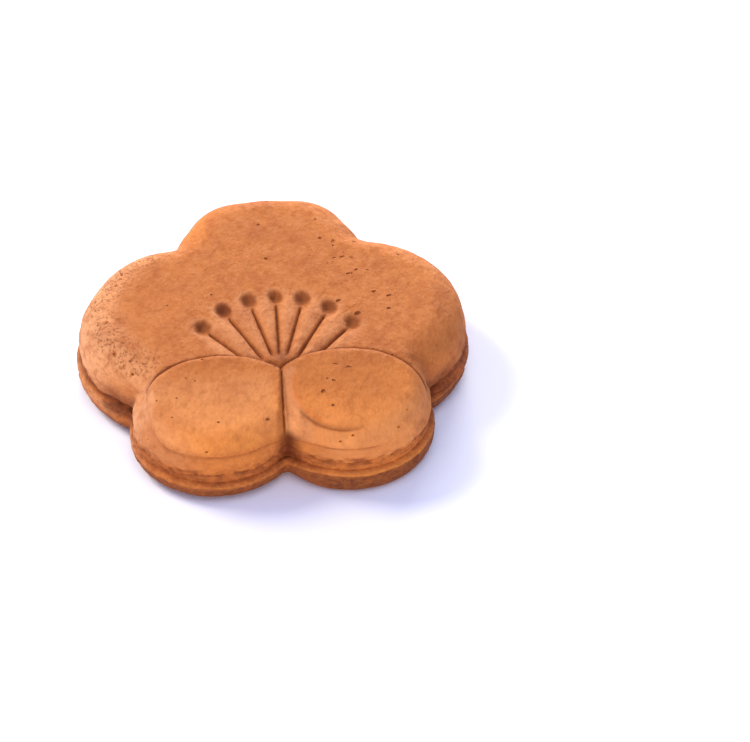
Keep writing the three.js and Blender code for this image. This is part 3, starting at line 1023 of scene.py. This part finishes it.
class MANJU_PG_shape(bpy.types.PropertyGroup):
    thickness: length_property("Thickness", "Height of the raised front petals over the table", 16.0)
    lip_height: length_property("Lip Height", "Height of the widest line, where the moulds closed", 3.6)
    shell_inset: length_property("Shell Inset", "How far the lower shell curves in to its foot", 3.6)
    shoulder_width: length_property("Shoulder Width", "From the crease in to the flat of the top", 6.0)
    pad_rise: length_property("Pad Rise", "How far the front petals stand above the others", 0.9)
    anther_radius: length_property("Anther Radius", "Half the width of a stamen's pit", 1.55)
    anther_depth: length_property("Anther Depth", "Depth of a stamen's pit", 1.0)
    unevenness: length_property("Unevenness", "How far the skin swells and sinks", 0.14)
    crumb_depth: length_property("Crumb Depth", "How rough the torn waist over the lip is", 0.55)
    lean: length_property("Lean", "How far the back petal leans to the right", 0.8)
    front_slope: number_property("Front Slope", "How fast the top falls away to the front", 0.18)
    fan_half_angle: angle_property("Fan Half Angle", "From the middle stamen to an outer one", 47.7)
    fan_turn: angle_property("Fan Turn", "How far the fan is turned to the right about its root", 2.2)
    pore_density: number_property("Pore Density", "Fine pores on a square millimetre at most", 0.035)
    seed: IntProperty(name="Seed", description="Which scatter of fine pores is cut", default=4, min=0)


class MANJU_PG_look(bpy.types.PropertyGroup):
    top_colour: colour_property("Top", "Crust on the flat of the top", (0.55, 0.17, 0.037))
    # Painted light: the warmer orange of the lit front slopes, back edges and lip.
    front_lit_colour: colour_property("Front", "Crust towards the front, a warmer orange", (0.81, 0.262, 0.05))
    # Painted highlights on lit edges, ridges and walls; also the crust's pale specks.
    pale_and_highlight_colour: colour_property("Pale", "Thin crust on edges and ridges", (0.84, 0.39, 0.17))
    # Also painted shade on the front walls and, in part, in the waist.
    side_colour: colour_property("Side", "Browner crust, in the waist and in clouds", (0.36, 0.088, 0.02))
    # Also painted shade, in part: under the lip, in the nooks and between the crumbs.
    brown_colour: colour_property("Brown", "Darkest crust, in pores and underneath", (0.12, 0.027, 0.009))
    # Painted shade: the dark put in the pits, grooves, creases and clefts.
    painted_shade_colour: colour_property("Hollow", "Crust in the pits and the grooves", (0.12, 0.02, 0.0035))
    table_colour: colour_property("Table", "The pale table", (0.96, 0.965, 1.0))


# --- Operators ---


class MANJU_OT_form_bun(bpy.types.Operator):
    """Form the bun, with its blossom, stamens, crumbly waist and pores"""

    bl_idname = "manju.form_bun"
    bl_label = "Form Bun"

    def execute(self, context):
        shape = context.scene.manju_shape
        piece = marks_object()
        modifier = piece.modifiers.new("Plum Blossom Bun", "NODES")
        modifier.node_group = bun_tree(crust_material(context.scene.manju_look))
        labels = {name: shape.bl_rna.properties[name].name for name in shape.__annotations__}
        set_inputs(modifier, {label: getattr(shape, name) for name, label in labels.items()})
        thin_out = piece.modifiers.new("Thin Out", "DECIMATE")
        thin_out.ratio = KEPT_TRIANGLES
        as_plain_mesh(piece)
        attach(piece, "root")
        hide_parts("bun")
        return {"FINISHED"}


class MANJU_OT_set_stage(bpy.types.Operator):
    """Lay the pale table, hang the soft lights and place the camera"""

    bl_idname = "manju.set_stage"
    bl_label = "Set Stage"

    def execute(self, context):
        add_table(table_material(context.scene.manju_look))
        add_lights()
        add_camera()
        return {"FINISHED"}


# --- The stage, in metres ---

TABLE_HALF_WIDTH = 2.0
TABLE_GAP = 0.00002  # the table lies this far under the foot

WARM = (1.0, 0.93, 0.78)
# Soft round lights that face the bun, as (name, place, diameter, watts, colour).
LIGHTS = [
    ("key_softbox", (-0.58, 0.36, 0.6), 0.4, 6.6, WARM),
    ("back_wall", (0.25, 1.1, 0.34), 0.6, 14.0, WARM),
    ("front_reflector", (-0.1, -1.1, 0.18), 0.4, 6.3, WARM),
    ("ceiling", (0.1, -0.35, 1.3), 1.0, 4.5, (0.95, 0.95, 1.0)),
]
ROOM_COLOUR = (0.44, 0.54, 1.0, 1.0)
ROOM_STRENGTH = 0.7

CAMERA_AZIMUTH = math.radians(-5.6)
CAMERA_ELEVATION = math.radians(40.4)
CAMERA_DISTANCE = 0.8
LENS, SENSOR = 211.0, 36.0  # in millimetres
AIM_FORWARD, AIM_UP = -0.98, 8.0  # the middle of the bun, in drawn millimetres
AIM_RIGHT, AIM_DOWN = 18.48, 5.8  # from there to the middle of the view, across it


def add_table(material):
    mesh = bpy.data.meshes.new("table")
    half = TABLE_HALF_WIDTH
    corners = [(-half, -half), (half, -half), (half, half), (-half, half)]
    mesh.from_pydata([(x, y, -TABLE_GAP) for x, y in corners], [], [(0, 1, 2, 3)])
    mesh.materials.append(material)
    table = bpy.data.objects.new("table", mesh)
    bpy.context.scene.collection.objects.link(table)


def aim(item, target):
    """Turns a light or camera to look at a point, with its top up."""
    item.rotation_euler = (target - item.location).to_track_quat("-Z", "Y").to_euler()


def add_lights():
    for name, place, diameter, power, colour in LIGHTS:
        light = bpy.data.lights.new(name, "AREA")
        light.shape = "DISK"
        light.size = diameter
        light.energy = power
        light.color = colour
        item = bpy.data.objects.new(name, light)
        bpy.context.scene.collection.objects.link(item)
        item.location = place
        aim(item, Vector((0.0, 0.0, 0.0)))
    world = bpy.data.worlds.new("pale_room")
    world.use_nodes = True
    background = world.node_tree.nodes["Background"]
    background.inputs["Color"].default_value = ROOM_COLOUR
    background.inputs["Strength"].default_value = ROOM_STRENGTH
    bpy.context.scene.world = world
    bpy.context.scene.view_settings.view_transform = "Standard"


def add_camera():
    """A long lens that looks down on the bun from the front, a little to its left."""
    backward = Vector((
        math.sin(CAMERA_AZIMUTH) * math.cos(CAMERA_ELEVATION),
        -math.cos(CAMERA_AZIMUTH) * math.cos(CAMERA_ELEVATION),
        math.sin(CAMERA_ELEVATION),
    ))
    right = Vector((math.cos(CAMERA_AZIMUTH), math.sin(CAMERA_AZIMUTH), 0.0))
    up = backward.cross(right)
    centre = Vector((0.0, AIM_FORWARD * MM, AIM_UP * MM))
    beside = right * AIM_RIGHT * MM - up * AIM_DOWN * MM
    data = bpy.data.cameras.new("camera")
    data.sensor_width = SENSOR
    data.lens = LENS
    camera = bpy.data.objects.new("camera", data)
    bpy.context.scene.collection.objects.link(camera)
    camera.location = centre + beside + backward * CAMERA_DISTANCE
    aim(camera, centre + beside)
    bpy.context.scene.camera = camera


class MANJU_PT_panel(bpy.types.Panel):
    """The steps that make the bun and its stage"""

    bl_idname = "MANJU_PT_panel"
    bl_label = "Plum Blossom Manju"
    bl_space_type = "VIEW_3D"
    bl_region_type = "UI"
    bl_category = "Manju"

    def draw(self, context):
        for settings in (context.scene.manju_shape, context.scene.manju_look):
            for name in settings.__annotations__:
                self.layout.prop(settings, name)
        for operator in OPERATORS:
            self.layout.operator(operator.bl_idname)


OPERATORS = [MANJU_OT_form_bun, MANJU_OT_set_stage]
CLASSES = [MANJU_PG_shape, MANJU_PG_look, *OPERATORS, MANJU_PT_panel]


def register():
    for item in CLASSES:
        bpy.utils.register_class(item)
    bpy.types.Scene.manju_shape = PointerProperty(type=MANJU_PG_shape)
    bpy.types.Scene.manju_look = PointerProperty(type=MANJU_PG_look)


def unregister():
    del bpy.types.Scene.manju_shape
    del bpy.types.Scene.manju_look
    for item in reversed(CLASSES):
        bpy.utils.unregister_class(item)


def main():
    register()
    bpy.ops.manju.form_bun()
    bpy.ops.manju.set_stage()


if __name__ == "__main__":
    main()
